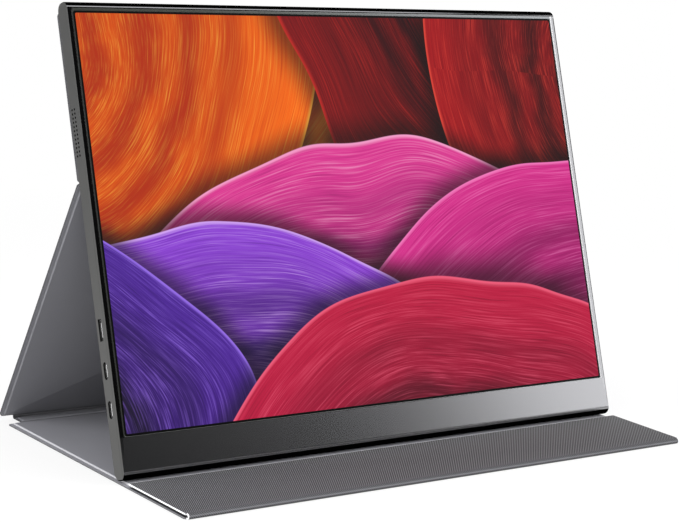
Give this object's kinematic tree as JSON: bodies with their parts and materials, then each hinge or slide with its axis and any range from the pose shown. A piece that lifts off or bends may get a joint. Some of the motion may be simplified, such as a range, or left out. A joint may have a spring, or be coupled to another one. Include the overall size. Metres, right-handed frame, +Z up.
{
  "type": "portable monitor with folding cover",
  "caption": "Thin flat-panel monitor with a metal chin, propped up by a folding fabric cover whose strut, spine, base and flap hinge at pressed creases.",
  "frame": {"origin": "on the table under the middle of the object's box, centred in width and depth", "axes": "+X to the viewer's right along the screen's width, +Y away from the viewer, +Z up; the screen faces -Y and leans back"},
  "size_m": [0.3391, 0.197, 0.2374],
  "materials": {
    "case_metal": "satin, fine bead-blasted",
    "front_metal": "satin, dark anodised",
    "button_metal": "satin",
    "border_black": "gloss black print",
    "picture": "lit abstract picture behind an anti-glare film",
    "cell_glass": "clear glass laminate",
    "optics": "milky film",
    "acrylic": "clear moulded acrylic",
    "white_board": "matte white",
    "led_yellow": "phosphor yellow",
    "frame_plastic": "moulded black",
    "steel": "plated sheet",
    "circuit_board": "green solder mask",
    "amber_foil": "amber polyimide",
    "foam": "closed-cell foam",
    "chip_black": "moulded epoxy",
    "wire_red": "insulated wire pair",
    "socket_steel": "bright plated",
    "socket_black": "moulded",
    "magnet": "nickel plated",
    "screw_steel": "blackened",
    "woven_skin": "fine diagonal weave, grey",
    "smooth_lining": "smooth grey microfibre leather",
    "stiffener": "pressed fibre board",
    "crease_skin": "skin and lining bonded together"
  },
  "bodies": {
    "base": {"base_skin": "woven_skin", "base_board": "stiffener", "base_lining": "smooth_lining", "base_crease": "crease_skin", "flap_crease": "crease_skin"},
    "flap": {"flap_skin": "woven_skin", "flap_board": "stiffener", "flap_lining": "smooth_lining"},
    "spine": {"spine_skin": "woven_skin", "spine_board": "stiffener", "spine_lining": "smooth_lining", "strut_crease": "crease_skin"},
    "strut": {"strut_skin": "woven_skin", "strut_board": "stiffener", "strut_lining": "smooth_lining", "fold_crease": "crease_skin"},
    "monitor": {"rear_shell": "case_metal", "front_frame": "front_metal", "border_mask": "border_black", "picture_film": "picture", "lcd_cell": "cell_glass", "optical_films": "optics", "light_guide": "acrylic", "led_strip": "white_board", "leds": "led_yellow", "reflector_sheet": "optics", "panel_frame": "frame_plastic", "panel_tray": "steel", "timing_board": "circuit_board", "cell_flexes": "amber_foil", "panel_tape": "foam", "main_board": "circuit_board", "main_chip": "chip_black", "board_parts": "chip_black", "shield_can": "steel", "display_ribbon": "amber_foil", "key_ribbon": "white_board", "speaker_leads": "wire_red", "mini_hdmi_shell": "socket_steel", "mini_hdmi_tongue": "socket_black", "usb_c_shells": "socket_steel", "usb_c_tongues": "socket_black", "headphone_socket": "socket_black", "key_board": "circuit_board", "key_switches": "steel", "status_light": "acrylic", "speaker_boxes": "frame_plastic", "speaker_cones": "chip_black", "speaker_gaskets": "foam", "monitor_magnets": "magnet", "case_screws": "screw_steel", "board_screws": "screw_steel", "back_skin": "woven_skin", "back_board": "stiffener", "back_lining": "smooth_lining", "back_magnets": "magnet"},
    "power_button": {"power_button": "button_metal"},
    "up_button": {"up_button": "button_metal"},
    "down_button": {"down_button": "button_metal"}
  },
  "joints": [
    {"name": "base_crease_turn", "type": "hinge", "parent": "base", "child": "spine", "pos_m": [0, 0.08683, 0.0004], "axis": [1, 0, 0], "range_deg": [-90, 0], "deforming": ["base_crease"]},
    {"name": "stand_fold", "type": "hinge", "parent": "spine", "child": "strut", "pos_m": [0, 0.09703, 0.0015], "axis": [1, 0, 0], "range_deg": [-28.1, 0], "deforming": ["strut_crease"]},
    {"name": "middle_fold", "type": "hinge", "parent": "strut", "child": "monitor", "pos_m": [0, 0.02136, 0.14622], "axis": [1, 0, 0], "range_deg": [0, 47.1], "deforming": ["fold_crease"]},
    {"name": "flap_fold", "type": "hinge", "parent": "base", "child": "flap", "pos_m": [0, -0.09699, 0.00155], "axis": [1, 0, 0], "range_deg": [0, 180], "deforming": ["flap_crease"]},
    {"name": "power_press", "type": "slide", "parent": "monitor", "child": "power_button", "axis": [-1, 0, 0], "range_m": [0, 0.0004], "stiffness_N_per_m": 2500, "springref_m": -0.0003},
    {"name": "up_press", "type": "slide", "parent": "monitor", "child": "up_button", "axis": [-1, 0, 0], "range_m": [0, 0.0004], "stiffness_N_per_m": 2500, "springref_m": -0.0003},
    {"name": "down_press", "type": "slide", "parent": "monitor", "child": "down_button", "axis": [-1, 0, 0], "range_m": [0, 0.0004], "stiffness_N_per_m": 2500, "springref_m": -0.0003}
  ],
  "couplings": [
    {"joint": "middle_fold", "follows": "stand_fold", "ratio": -1.675}
  ]
}
